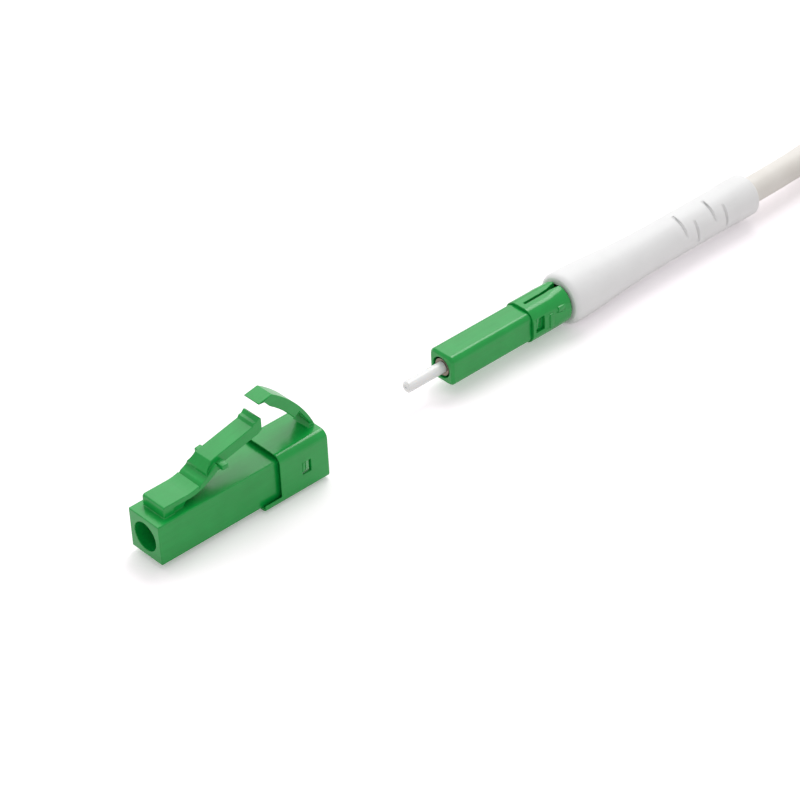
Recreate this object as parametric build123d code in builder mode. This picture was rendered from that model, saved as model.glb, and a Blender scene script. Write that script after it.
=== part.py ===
from build123d import *
from math import atan2, cos, pi, radians, sin, tan
import os

# Latched single-fibre connector with angled polish, shown with its housing pulled off.
# Millimetres. +X runs along the fibre from the mating face to the cable, +Z is up.
# The origin lies on the standing surface, below the middle of the connector.
# The cable and its hank lie beyond the boot, along +X.

# Driving dimensions of the housing pulled off the plug
block_side = 4.5
block_length = 15.9
block_edge_radius = 0.12
adapter_bore_diameter = 3.15
adapter_bore_depth = 4.6
adapter_bore_chamfer = 0.1
seam_before_block_end = 1.46
rear_body_length = 6.06
rear_body_wall = 0.5
rear_body_top_step = 0.6
rear_body_bottom_step = 0.375
rear_body_top_radius = 0.9
rear_body_bottom_radius = 0.45
rear_end_rounding = 0.15
tongue_length = 2.1
tongue_lip_height = 0.75
snap_window_from_block = 1.25
snap_window_length = 1.1
snap_window_height = 1.4
snap_arm_thickness = 0.3
snap_arm_height = 1.1
snap_arm_overlap = 1.0
snap_barb_length = 0.75
snap_barb_flat = 0.25
snap_arm_rise = 0.13

# Driving dimensions of the plug
ferrule_tip_from_front = 33.05
ferrule_diameter = 1.25
ferrule_length = 6.5
ferrule_chamfer = 0.2
polish_angle = 8.0
fibre_diameter = 0.125
buffer_diameter = 0.9
buffer_length = 18.6
frame_from_tip = 4.85
frame_side = 3.44
frame_edge_radius = 0.75
frame_length = 12.7
frame_front_wall = 0.9
frame_front_chamfer = 0.25
flange_window_diameter = 2.36
frame_wall = 0.32
retainer_overlap = 1.7
retainer_length = 5.4
retainer_wall = 0.33
retainer_corner_radius = 1.45
retainer_straight_length = 3.1
retainer_flare = 0.2
retainer_slit_width = 0.34
retainer_slit_end_width = 0.9
retainer_wedge_length = 1.3
retainer_slit_from_front = 0.65
retainer_window_from_front = 0.4
retainer_window_length = 1.2
retainer_window_height = 1.6
retainer_window_rise = 0.25
retainer_rib_height = 0.12

# Driving dimensions of the boot and the cable
boot_front_from_retainer = 5.6
boot_length = 28.3
boot_front_diameter = 5.75
boot_front_face_diameter = 5.0
boot_rim_setback = 0.67
boot_waist_diameter = 4.56
boot_shoulder_diameter = 4.95
boot_cuff_diameter = 4.7
boot_cuff_length = 3.2
boot_slot_width = 0.36
boot_slot_depth = 0.5
boot_slot_turn = 38.0
boot_slot_stagger = 1.7
boot_slot_stagger_turn = 40.0
boot_slot_pitch = 4.4
boot_last_slot_from_cuff = 2.0
boot_slot_pairs = 2
cable_diameter = 3.0

# Clearances
running_clearance = 0.07
seat_clearance = 0.02
mate_stop_gap = 0.05
overrun = 1.0

# Sizes and places that follow
retainer_side = frame_side + 2 * retainer_wall
retainer_end_diameter = retainer_side + 2 * retainer_flare
spring_chamber_diameter = frame_side - 2 * frame_wall
rear_body_width = retainer_end_diameter + 2 * rear_body_wall
rear_body_height = block_side + rear_body_top_step + rear_body_bottom_step
axis_height = boot_front_diameter / 2
retainer_from_frame = frame_length - retainer_overlap
plug_length = frame_from_tip + retainer_from_frame + boot_front_from_retainer + boot_length
overall_length = ferrule_tip_from_front + plug_length
front_x = -overall_length / 2
block_rear_x = front_x + block_length
seam_x = block_rear_x - seam_before_block_end
rear_body_x = seam_x + rear_body_length
block_top = axis_height + block_side / 2
rear_body_top = block_top + rear_body_top_step
rear_body_bottom = rear_body_top - rear_body_height
rear_body_middle = (rear_body_top + rear_body_bottom) / 2 - axis_height
tip_x = front_x + ferrule_tip_from_front
frame_x = tip_x + frame_from_tip
retainer_x = frame_x + retainer_from_frame
boot_x = retainer_x + boot_front_from_retainer
boot_end_x = front_x + overall_length
plug_cavity_side = frame_side + 2 * running_clearance
retainer_cavity_half = retainer_side / 2 + running_clearance
fibre_axis = Axis((0, 0, axis_height), (1, 0, 0))


def on_axis(x):
    """Plane across the fibre axis at x, with its origin on the axis."""
    return Plane(origin=(x, 0, axis_height), x_dir=(0, 1, 0), z_dir=(1, 0, 0))


# Front housing: square block with the adapter bore, the plug cavity and two snap arms
arm_start_x = block_rear_x - snap_arm_overlap
window_x = block_rear_x + snap_window_from_block
arm_end_x = window_x + snap_barb_length
arm_inner = retainer_cavity_half
arm_outer = arm_inner + snap_arm_thickness
barb_outer = rear_body_width / 2 - seat_clearance
latch_root_from_front = 1.28
latch_root_length = 2.92
latch_strip_width = 3.2
latch_strip_thickness = 0.62
latch_strip_height = 1.26
latch_web_inset = 0.16
latch_front_chamfer = 0.2
hinge_x = front_x + latch_root_from_front + latch_root_length
root_x = front_x + latch_root_from_front
strip_top = block_top + latch_strip_height
strip_bottom = strip_top - latch_strip_thickness

with BuildPart() as front_housing:
    with BuildSketch(on_axis(front_x)):
        RectangleRounded(block_side, block_side, block_edge_radius)
    extrude(amount=block_length)
    with BuildSketch(on_axis(front_x)):
        Circle(adapter_bore_diameter / 2)
    extrude(amount=adapter_bore_depth, mode=Mode.SUBTRACT)
    chamfer(front_housing.edges().filter_by(GeomType.CIRCLE).sort_by(Axis.X)[0], adapter_bore_chamfer)
    with BuildSketch(on_axis(front_x + adapter_bore_depth)):
        RectangleRounded(plug_cavity_side, plug_cavity_side, frame_edge_radius)
    extrude(amount=block_length, mode=Mode.SUBTRACT)
    # fixed root that the latch lever springs from
    with BuildSketch(Plane.XZ):
        with BuildLine():
            Polyline(
                (root_x, block_top - block_edge_radius),
                (root_x, strip_top - latch_front_chamfer),
                (root_x + latch_front_chamfer, strip_top),
                (hinge_x, strip_top),
                (hinge_x, strip_bottom),
                (root_x + latch_strip_height, strip_bottom),
                (root_x + latch_strip_height, block_top - block_edge_radius),
                close=True,
            )
        make_face()
    extrude(amount=latch_strip_width / 2, both=True)
    with BuildSketch(Plane.XZ):
        with BuildLine():
            Polyline(
                (root_x, block_top - block_edge_radius),
                (root_x, strip_bottom),
                (hinge_x, strip_bottom),
                (hinge_x - latch_strip_thickness, block_top - block_edge_radius),
                close=True,
            )
        make_face()
    extrude(amount=latch_strip_width / 2 - latch_web_inset, both=True)
    # snap arms with barbs that show in the rear body's windows
    for side in (-1, 1):
        with BuildSketch(Plane.XY.offset(axis_height + snap_arm_rise - snap_arm_height / 2)):
            with BuildLine():
                Polyline(
                    (arm_start_x, side * arm_inner),
                    (arm_start_x, side * arm_outer),
                    (window_x + seat_clearance, side * arm_outer),
                    (window_x + seat_clearance, side * barb_outer),
                    (window_x + snap_barb_flat, side * barb_outer),
                    (arm_end_x, side * arm_outer),
                    (arm_end_x, side * arm_inner),
                    close=True,
                )
            make_face()
        extrude(amount=snap_arm_height)

# Rear housing: sleeve on the block's rear end, open at the back for the plug
arm_pocket_outer = arm_outer + seat_clearance
rear_cavity_side = retainer_end_diameter + running_clearance
seat_side = block_side + 2 * seat_clearance
rear_cavity_radius = rear_body_top_radius - (rear_body_width - rear_cavity_side) / 4
mouth_edge = 0.15
mouth_depth = 0.5
mouth_top = rear_body_top - axis_height - mouth_edge
mouth_height = mouth_top + seat_side / 2
trigger_width = 2.2
trigger_post_length = 0.75
trigger_post_height = 0.435
trigger_post_foot = 0.3
trigger_hinge_x = rear_body_x - trigger_post_length
trigger_hinge_z = rear_body_top + trigger_post_height
trigger_neck_thickness = 0.42
trigger_slope = 50.0
trigger_arch = 16.0
neck_across = trigger_neck_thickness / sin(radians(trigger_slope + trigger_arch))
post_top_x = trigger_hinge_x + neck_across

with BuildPart() as rear_housing:
    with BuildSketch(on_axis(seam_x - tongue_length)) as rear_outline:
        with Locations((0, rear_body_middle)):
            Rectangle(rear_body_width, rear_body_height)
        fillet(rear_outline.vertices().group_by(Axis.Y)[-1], rear_body_top_radius)
        fillet(rear_outline.vertices().group_by(Axis.Y)[0], rear_body_bottom_radius)
    extrude(amount=tongue_length + rear_body_length)
    fillet(rear_housing.faces().sort_by(Axis.X)[-1].edges(), rear_end_rounding)
    # above its side lips the tongue is cut away, which leaves the body's front edge
    with BuildSketch(Plane.XZ):
        with BuildLine():
            Polyline(
                (seam_x - tongue_length - overrun, rear_body_bottom + tongue_lip_height),
                (seam_x, rear_body_bottom + tongue_lip_height),
                (seam_x, rear_body_top + overrun),
                (seam_x - tongue_length - overrun, rear_body_top + overrun),
                close=True,
            )
        make_face()
    extrude(amount=rear_body_width, both=True, mode=Mode.SUBTRACT)
    # relief at the mouth, which leaves a thin front edge and thin lips round the block
    with BuildSketch(on_axis(seam_x - tongue_length - overrun)) as mouth_outline:
        with Locations((0, mouth_top - mouth_height / 2)):
            Rectangle(rear_body_width - 2 * mouth_edge, mouth_height)
        fillet(mouth_outline.vertices().group_by(Axis.Y)[-1], rear_body_top_radius - mouth_edge)
    extrude(amount=tongue_length + overrun + mouth_depth, mode=Mode.SUBTRACT)
    # seat for the block, then the wider cavity for the plug's retainer
    with BuildSketch(on_axis(seam_x - tongue_length - overrun)):
        Rectangle(seat_side, seat_side)
    extrude(amount=block_rear_x - seam_x + tongue_length + overrun, mode=Mode.SUBTRACT)
    with BuildSketch(on_axis(block_rear_x)):
        RectangleRounded(rear_cavity_side, rear_cavity_side, rear_cavity_radius)
    extrude(amount=rear_body_x - block_rear_x + overrun, mode=Mode.SUBTRACT)
    with BuildSketch(on_axis(arm_start_x - seat_clearance)):
        with Locations((0, snap_arm_rise)):
            Rectangle(2 * arm_pocket_outer, snap_arm_height + 2 * seat_clearance)
    extrude(amount=window_x + snap_window_length - arm_start_x, mode=Mode.SUBTRACT)
    with BuildSketch(on_axis(window_x)):
        Rectangle(rear_body_width + overrun, snap_window_height)
    extrude(amount=snap_window_length, mode=Mode.SUBTRACT)
    # post that the trigger springs from
    with BuildSketch(Plane.XZ):
        with BuildLine():
            Polyline(
                (trigger_hinge_x - trigger_post_foot, rear_body_top - rear_end_rounding),
                (trigger_hinge_x - trigger_post_foot, rear_body_top),
                (trigger_hinge_x, trigger_hinge_z),
                (post_top_x, trigger_hinge_z),
                (rear_body_x - rear_end_rounding, rear_body_top),
                (rear_body_x - rear_end_rounding, rear_body_top - rear_end_rounding),
                close=True,
            )
        make_face()
    extrude(amount=trigger_width / 2, both=True)

# Latch lever: springy strip, steeper arm with a raised cross lip, and two catch lugs
latch_bend_run = 2.45
latch_bend_rise = 0.7
latch_slope_length = 1.5
latch_riser = 0.35
latch_arm_width = 2.3
latch_lug_width = 4.2
latch_lug_gap = 0.22
latch_lug_length = 0.73
latch_lug_height = 0.57
latch_ramp_run = 0.85
latch_ramp_rise = 0.85
latch_end_from_body_end = 6.6
latch_arm_rise = 1.15
latch_lip_rise = 0.65
latch_lip_run = 1.1
latch_end_drop = 1.5
latch_flare_width = 3.0
latch_lug_front_share = 0.85
latch_end_share = 0.45
latch_lip_run_shares = (0.12, 0.45, 0.75, 1.0)
latch_lip_rise_shares = (0.4, 0.5, 1.0, 0.7)
bend_angle = 2 * atan2(latch_bend_rise, latch_bend_run)
bend_end_x = hinge_x + latch_bend_run
bend_end_z = strip_top + latch_bend_rise
slope_end_x = bend_end_x + latch_slope_length * cos(bend_angle)
slope_end_z = bend_end_z + latch_slope_length * sin(bend_angle)
under_dx = latch_strip_thickness * sin(bend_angle)
under_dz = latch_strip_thickness * cos(bend_angle)
ramp_top_x = bend_end_x + latch_ramp_run
ramp_top_z = bend_end_z + latch_riser + latch_ramp_rise
ramp_slope = latch_ramp_rise / latch_ramp_run
latch_end_x = rear_body_x - latch_end_from_body_end
latch_end_run = latch_lip_run * latch_end_share
latch_end_rise = latch_lip_rise * latch_end_share
lip_foot_x = latch_end_x - latch_lip_run
lip_foot_z = ramp_top_z + latch_arm_rise
lip_top_z = lip_foot_z + latch_lip_rise
lug_x = slope_end_x + latch_lug_gap
lug_end_x = lug_x + latch_lug_length
lug_base_z = slope_end_z - latch_lug_height
lip_points = [
    (lip_foot_x + run * latch_lip_run, lip_foot_z + rise * latch_lip_rise)
    for run, rise in zip(latch_lip_run_shares, latch_lip_rise_shares)
]
under_lip_z = lip_top_z - latch_end_drop

with BuildPart() as latch_lever:
    with BuildSketch(Plane.XZ):
        with BuildLine():
            Line((hinge_x, strip_bottom), (hinge_x, strip_top))
            upper_bend = TangentArc((hinge_x, strip_top), (bend_end_x, bend_end_z), tangent=(1, 0))
            Polyline(
                (bend_end_x, bend_end_z),
                (slope_end_x, slope_end_z),
                (slope_end_x + under_dx, slope_end_z - under_dz),
                (bend_end_x + under_dx, bend_end_z - under_dz),
            )
            TangentArc(
                (hinge_x, strip_bottom),
                (bend_end_x + under_dx, bend_end_z - under_dz),
                tangent=(1, 0),
            )
        make_face()
    extrude(amount=latch_strip_width / 2, both=True)
    with BuildSketch(Plane.XZ):
        with BuildLine():
            Polyline(
                (bend_end_x, bend_end_z - under_dz / 2),
                (bend_end_x, bend_end_z + latch_riser),
                (ramp_top_x, ramp_top_z),
                (lip_foot_x, lip_foot_z),
                *lip_points,
                (latch_end_x, under_lip_z),
                (latch_end_x - latch_end_run, under_lip_z - latch_end_rise),
                (lug_end_x, lug_base_z),
                (slope_end_x, lug_base_z),
                close=True,
            )
        make_face()
    extrude(amount=latch_arm_width / 2, both=True)
    # the ramp's sides flare out to the strip's width at its foot
    with BuildSketch(Plane.XY.offset(bend_end_z - under_dz / 2)):
        with BuildLine():
            Line((bend_end_x, -latch_flare_width / 2), (bend_end_x, latch_flare_width / 2))
            for side in (-1, 1):
                TangentArc(
                    (ramp_top_x, side * latch_arm_width / 2),
                    (bend_end_x, side * latch_flare_width / 2),
                    tangent=(-1, 0),
                )
            Line((ramp_top_x, -latch_arm_width / 2), (ramp_top_x, latch_arm_width / 2))
        make_face()
    extrude(amount=ramp_top_z - bend_end_z + under_dz)
    with BuildSketch(Plane.XZ):
        with BuildLine():
            Polyline(
                (bend_end_x - overrun, bend_end_z + latch_riser - overrun * ramp_slope),
                (ramp_top_x, ramp_top_z),
                (ramp_top_x, ramp_top_z + overrun),
                (bend_end_x - overrun, ramp_top_z + overrun),
                close=True,
            )
        make_face()
    extrude(amount=latch_flare_width, both=True, mode=Mode.SUBTRACT)
    with BuildSketch(Plane.XZ):
        with BuildLine():
            Polyline(
                (lug_x, lug_base_z),
                (lug_x, lug_base_z + latch_lug_height * latch_lug_front_share),
                (lug_end_x, lug_base_z + latch_lug_height),
                (lug_end_x, lug_base_z),
                close=True,
            )
        make_face()
    extrude(amount=latch_lug_width / 2, both=True)

# Trigger: arched spring strap with a thin neck at its root and a finger pad in front
trigger_beam_thickness = 1.2
trigger_beam_length = 7.45
trigger_neck_turn = 11.0
trigger_heel_turn = 30.0
trigger_pad_length = 1.7
trigger_pad_slope = 10.0
trigger_pad_thickness = 0.12
trigger_pad_heel = 0.55
trigger_heel_drop = 0.2
strap_x = -cos(radians(trigger_slope))
strap_z = sin(radians(trigger_slope))
beam_top_x = post_top_x + trigger_beam_length * strap_x
beam_top_z = trigger_hinge_z + trigger_beam_length * strap_z
pad_front_x = beam_top_x - trigger_pad_length * cos(radians(trigger_pad_slope))
pad_front_z = beam_top_z - trigger_pad_length * sin(radians(trigger_pad_slope))
arch_radius = trigger_beam_length / (2 * sin(radians(trigger_arch)))
arch_centre_x = (post_top_x + beam_top_x) / 2 - arch_radius * cos(radians(trigger_arch)) * strap_z
arch_centre_z = (trigger_hinge_z + beam_top_z) / 2 + arch_radius * cos(radians(trigger_arch)) * strap_x
arch_start = 90 - trigger_slope - trigger_arch


def arch_point(turn, depth):
    """Point of the strap at a turn in degrees from its root, at a depth under its outer face."""
    angle = radians(arch_start + turn)
    reach = arch_radius - depth
    return (arch_centre_x + reach * cos(angle), arch_centre_z + reach * sin(angle))


heel_x, heel_z = arch_point(trigger_heel_turn, trigger_beam_thickness)
beam_middle_turn = (trigger_heel_turn + trigger_neck_turn) / 2

with BuildPart() as trigger:
    with BuildSketch(Plane.XZ):
        with BuildLine():
            Line((trigger_hinge_x, trigger_hinge_z), (post_top_x, trigger_hinge_z))
            ThreePointArc(
                (post_top_x, trigger_hinge_z),
                arch_point(trigger_arch, 0),
                (beam_top_x, beam_top_z),
            )
            Polyline(
                (beam_top_x, beam_top_z),
                (pad_front_x, pad_front_z),
                (pad_front_x + trigger_pad_thickness / 2, pad_front_z - trigger_pad_thickness),
                (heel_x - trigger_pad_heel, pad_front_z - trigger_heel_drop),
                (heel_x, heel_z),
            )
            ThreePointArc(
                (heel_x, heel_z),
                arch_point(beam_middle_turn, trigger_beam_thickness),
                arch_point(trigger_neck_turn, trigger_beam_thickness),
            )
            Line(
                arch_point(trigger_neck_turn, trigger_beam_thickness),
                arch_point(trigger_neck_turn, trigger_neck_thickness),
            )
            ThreePointArc(
                arch_point(trigger_neck_turn, trigger_neck_thickness),
                arch_point(trigger_neck_turn / 2, trigger_neck_thickness),
                (trigger_hinge_x, trigger_hinge_z),
            )
        make_face()
    extrude(amount=trigger_width / 2, both=True)

# Plug frame: square nose that carries the sprung ferrule, with barbs for the retainer
frame_rear_x = frame_x + frame_length
chamber_x = frame_x + frame_front_wall
retainer_window_x = retainer_x + retainer_window_from_front
frame_barb_outer = retainer_side / 2 - seat_clearance
frame_barb_length_share = 0.7
frame_barb_foot_share = 0.25
frame_barb_z = axis_height + retainer_window_rise - retainer_window_height * frame_barb_foot_share
barb_start_x = retainer_window_x + seat_clearance
barb_end_x = retainer_window_x + retainer_window_length * frame_barb_length_share

with BuildPart() as plug_frame:
    with BuildSketch(on_axis(frame_x)):
        RectangleRounded(frame_side, frame_side, frame_edge_radius)
    extrude(amount=frame_length)
    chamfer(plug_frame.faces().sort_by(Axis.X)[0].edges(), frame_front_chamfer)
    with BuildSketch(on_axis(frame_x)):
        Circle(flange_window_diameter / 2)
    extrude(amount=frame_length, mode=Mode.SUBTRACT)
    with BuildSketch(on_axis(chamber_x)):
        Circle(spring_chamber_diameter / 2)
    extrude(amount=frame_length, mode=Mode.SUBTRACT)
    for side in (-1, 1):
        with BuildSketch(Plane.XY.offset(frame_barb_z)):
            with BuildLine():
                Polyline(
                    (barb_start_x, side * (frame_side / 2 - seat_clearance)),
                    (barb_start_x, side * frame_barb_outer),
                    (barb_end_x, side * (frame_side / 2 + seat_clearance)),
                    (barb_end_x, side * (frame_side / 2 - seat_clearance)),
                    close=True,
                )
            make_face()
        extrude(amount=retainer_window_height * (frame_barb_foot_share + 1 / 2) - seat_clearance)

# Ferrule: ceramic cylinder with a chamfered nose and an angle-polished end
polish_setback = (ferrule_diameter / 2 - ferrule_chamfer) * tan(radians(polish_angle))
polish_plane = Plane(
    origin=(tip_x + polish_setback, 0, axis_height),
    x_dir=(0, 1, 0),
    z_dir=(cos(radians(polish_angle)), 0, sin(radians(polish_angle))),
)

with BuildPart() as ferrule:
    with BuildSketch(on_axis(tip_x)):
        Circle(ferrule_diameter / 2)
        Circle(fibre_diameter / 2 + seat_clearance / 2, mode=Mode.SUBTRACT)
    extrude(amount=ferrule_length)
    chamfer(
        ferrule.edges().filter_by(GeomType.CIRCLE).group_by(Axis.X)[0].sort_by(SortBy.RADIUS)[-1],
        ferrule_chamfer,
    )
    split(bisect_by=polish_plane, keep=Keep.TOP)

# Ferrule flange: front collar seen round the ferrule, hexagon head and rear tube
flange_collar_diameter = 1.95
flange_collar_from_frame = 0.12
flange_hex_across = 2.3
flange_hex_length = 1.6
flange_tube_diameter = 1.5
flange_tube_length = 2.6
flange_x = frame_x + flange_collar_from_frame
flange_hex_x = chamber_x + seat_clearance
flange_tube_x = flange_hex_x + flange_hex_length
flange_end_x = flange_tube_x + flange_tube_length
ferrule_end_x = tip_x + ferrule_length

with BuildPart() as ferrule_flange:
    with BuildSketch(on_axis(flange_x)):
        Circle(flange_collar_diameter / 2)
    extrude(amount=flange_hex_x - flange_x)
    with BuildSketch(on_axis(flange_hex_x)):
        RegularPolygon(flange_hex_across / 2, 6, major_radius=False)
    extrude(amount=flange_hex_length)
    with BuildSketch(on_axis(flange_tube_x)):
        Circle(flange_tube_diameter / 2)
    extrude(amount=flange_tube_length)
    with BuildSketch(on_axis(flange_x)):
        Circle(ferrule_diameter / 2 + seat_clearance / 2)
    extrude(amount=ferrule_end_x + seat_clearance - flange_x, mode=Mode.SUBTRACT)
    with BuildSketch(on_axis(flange_x)):
        Circle(buffer_diameter / 2 + seat_clearance / 2)
    extrude(amount=flange_end_x - flange_x, mode=Mode.SUBTRACT)

# Fibre in the ferrule's bore, and the buffered fibre behind it
with BuildPart() as glass_fibre:
    with BuildSketch(on_axis(tip_x)):
        Circle(fibre_diameter / 2)
    extrude(amount=ferrule_length)
    split(bisect_by=polish_plane, keep=Keep.TOP)

with BuildPart() as buffered_fibre:
    with BuildSketch(on_axis(ferrule_end_x)):
        Circle(buffer_diameter / 2)
    extrude(amount=buffer_length)

# Ferrule spring: wire coil between the flange's hexagon and the spring stop
spring_wire_diameter = 0.24
spring_diameter = 2.1
spring_length = 6.4
spring_pitch = 1.0
spring_x = flange_tube_x + seat_clearance + spring_wire_diameter / 2
spring_helix_length = spring_length - spring_wire_diameter

with BuildPart() as ferrule_spring:
    with BuildLine() as spring_line:
        Helix(
            spring_pitch,
            spring_helix_length,
            spring_diameter / 2,
            center=(spring_x, 0, axis_height),
            direction=(1, 0, 0),
        )
    with BuildSketch(Plane(spring_line.line @ 0, z_dir=spring_line.line % 0)):
        Circle(spring_wire_diameter / 2)
    sweep()

# Spring stop: turned metal body behind the spring, with the knurled crimp tube
stop_x = flange_tube_x + seat_clearance + spring_length + seat_clearance
stop_shoulder_diameter = frame_side - 4 * seat_clearance
stop_shoulder_length = 1.5
stop_barrel_diameter = spring_chamber_diameter
crimp_tube_diameter = 2.3
crimp_tube_length = 5.6
crimp_groove_depth = 0.06
crimp_groove_count = 8
stop_bore_diameter = 1.1
stop_shoulder_x = frame_rear_x + seat_clearance
stop_barrel_x = stop_shoulder_x + stop_shoulder_length
crimp_tube_x = retainer_x + retainer_length + seat_clearance
crimp_tube_end_x = crimp_tube_x + crimp_tube_length

with BuildPart() as spring_stop:
    with BuildSketch(on_axis(stop_x)):
        Circle(spring_chamber_diameter / 2 - seat_clearance)
    extrude(amount=stop_shoulder_x - stop_x)
    with BuildSketch(on_axis(stop_shoulder_x)):
        Circle(stop_shoulder_diameter / 2)
    extrude(amount=stop_shoulder_length)
    with BuildSketch(on_axis(stop_barrel_x)):
        Circle(stop_barrel_diameter / 2)
    extrude(amount=crimp_tube_x - stop_barrel_x)
    with BuildSketch(on_axis(crimp_tube_x)):
        Circle(crimp_tube_diameter / 2)
    extrude(amount=crimp_tube_length)
    with BuildSketch(on_axis(stop_x)):
        Circle(stop_bore_diameter / 2)
    extrude(amount=crimp_tube_end_x - stop_x, mode=Mode.SUBTRACT)
    groove_step = crimp_tube_length / (crimp_groove_count + 1)
    for groove in range(crimp_groove_count):
        with BuildSketch(on_axis(crimp_tube_x + groove_step * (groove + 1))):
            Circle(crimp_tube_diameter / 2 + crimp_groove_depth)
            Circle(crimp_tube_diameter / 2 - crimp_groove_depth, mode=Mode.SUBTRACT)
        extrude(amount=groove_step / 2, mode=Mode.SUBTRACT)

# Retainer: sleeve from rounded square to round, with side windows, ribs and a top slit
retainer_end_x = retainer_x + retainer_length
retainer_loft_x = retainer_x + retainer_straight_length
retainer_wedge_x = retainer_end_x - retainer_wedge_length
retainer_seat_side = frame_side + 2 * seat_clearance
retainer_seat_end_x = frame_rear_x + seat_clearance
shoulder_seat_diameter = stop_shoulder_diameter + 2 * seat_clearance
barrel_seat_diameter = stop_barrel_diameter + 2 * seat_clearance
retainer_end_flat = 0.1
retainer_end_rounding = 0.2
retainer_rib_from_front = 2.3
retainer_rib_width = 0.5
retainer_rib_length = 1.7
retainer_pad_from_front = 3.5
retainer_pad_length = 0.9
retainer_pad_width = 0.6
retainer_pad_rise = 0.85
retainer_pad_depth = 0.3
rib_middle = retainer_rib_from_front + retainer_rib_width / 2
pad_middle = retainer_pad_from_front + retainer_pad_length / 2

with BuildPart() as retainer:
    with BuildSketch(on_axis(retainer_x)):
        RectangleRounded(retainer_side, retainer_side, retainer_corner_radius)
    extrude(amount=retainer_straight_length)
    with BuildSketch(on_axis(retainer_loft_x)):
        RectangleRounded(retainer_side, retainer_side, retainer_corner_radius)
    with BuildSketch(on_axis(retainer_end_x)):
        RectangleRounded(
            retainer_end_diameter,
            retainer_end_diameter,
            (retainer_end_diameter - retainer_end_flat) / 2,
        )
    loft()
    fillet(retainer.faces().sort_by(Axis.X)[-1].edges(), retainer_end_rounding)
    # a rib and a small pad behind each snap window
    for side in (-1, 1):
        rib_plane = Plane(
            origin=(retainer_x, side * (retainer_side / 2 + retainer_rib_height), axis_height),
            x_dir=(1, 0, 0),
            z_dir=(0, -side, 0),
        )
        with BuildSketch(rib_plane):
            with Locations((rib_middle, 0)):
                Rectangle(retainer_rib_width, retainer_rib_length)
            with Locations((pad_middle, side * retainer_pad_rise)):
                Rectangle(retainer_pad_length, retainer_pad_width)
        extrude(amount=retainer_pad_depth)
    # seat for the plug frame, then for the spring stop's shoulder and barrel
    with BuildSketch(on_axis(retainer_x)):
        RectangleRounded(retainer_seat_side, retainer_seat_side, frame_edge_radius)
    extrude(amount=retainer_seat_end_x - retainer_x, mode=Mode.SUBTRACT)
    with BuildSketch(on_axis(retainer_x)):
        Circle(shoulder_seat_diameter / 2)
    extrude(amount=stop_barrel_x + seat_clearance - retainer_x, mode=Mode.SUBTRACT)
    with BuildSketch(on_axis(retainer_x)):
        Circle(barrel_seat_diameter / 2)
    extrude(amount=retainer_length, mode=Mode.SUBTRACT)
    with BuildSketch(on_axis(retainer_window_x)):
        with Locations((0, retainer_window_rise)):
            Rectangle(retainer_side + overrun, retainer_window_height)
    extrude(amount=retainer_window_length, mode=Mode.SUBTRACT)
    with BuildSketch(Plane.XY.offset(axis_height)):
        with BuildLine():
            Polyline(
                (retainer_x + retainer_slit_from_front, retainer_slit_width / 2),
                (retainer_wedge_x, retainer_slit_width / 2),
                (retainer_end_x, retainer_slit_end_width / 2),
                (retainer_end_x + overrun, retainer_slit_end_width / 2),
                (retainer_end_x + overrun, -retainer_slit_end_width / 2),
                (retainer_end_x, -retainer_slit_end_width / 2),
                (retainer_wedge_x, -retainer_slit_width / 2),
                (retainer_x + retainer_slit_from_front, -retainer_slit_width / 2),
                close=True,
            )
        make_face()
    extrude(amount=retainer_end_diameter, mode=Mode.SUBTRACT)

# Crimp sleeve over the strength yarn and the cable's jacket
crimp_sleeve_wall = 0.25
crimp_sleeve_length = 6.6
yarn_length = 5.0
jacket_gap = 0.2
sleeve_bore_diameter = cable_diameter + 2 * seat_clearance
crimp_sleeve_diameter = sleeve_bore_diameter + 2 * crimp_sleeve_wall
crimp_sleeve_x = crimp_tube_x + jacket_gap
jacket_x = crimp_tube_end_x + jacket_gap

with BuildPart() as strength_yarn:
    with BuildSketch(on_axis(crimp_sleeve_x + jacket_gap)):
        Circle(cable_diameter / 2)
        Circle(crimp_tube_diameter / 2 + seat_clearance, mode=Mode.SUBTRACT)
    extrude(amount=yarn_length)

with BuildPart() as crimp_sleeve:
    with BuildSketch(on_axis(crimp_sleeve_x)):
        Circle(crimp_sleeve_diameter / 2)
        Circle(sleeve_bore_diameter / 2, mode=Mode.SUBTRACT)
    extrude(amount=crimp_sleeve_length)

with BuildPart() as cable_in_boot:
    with BuildSketch(on_axis(jacket_x)):
        Circle(cable_diameter / 2)
    extrude(amount=boot_end_x - jacket_x)

# Boot: soft tapered sleeve with a rounded rim and staggered flex slots
boot_bore_diameter = cable_diameter + 2 * seat_clearance
boot_socket_diameter = crimp_sleeve_diameter + 2 * seat_clearance
boot_socket_end_x = crimp_sleeve_x + crimp_sleeve_length + seat_clearance
boot_rim_x = boot_x + boot_rim_setback
boot_cuff_x = boot_end_x - boot_cuff_length
boot_shoulder_share = 0.3
boot_waist_share = 0.62
boot_cuff_edge = 0.25

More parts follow.
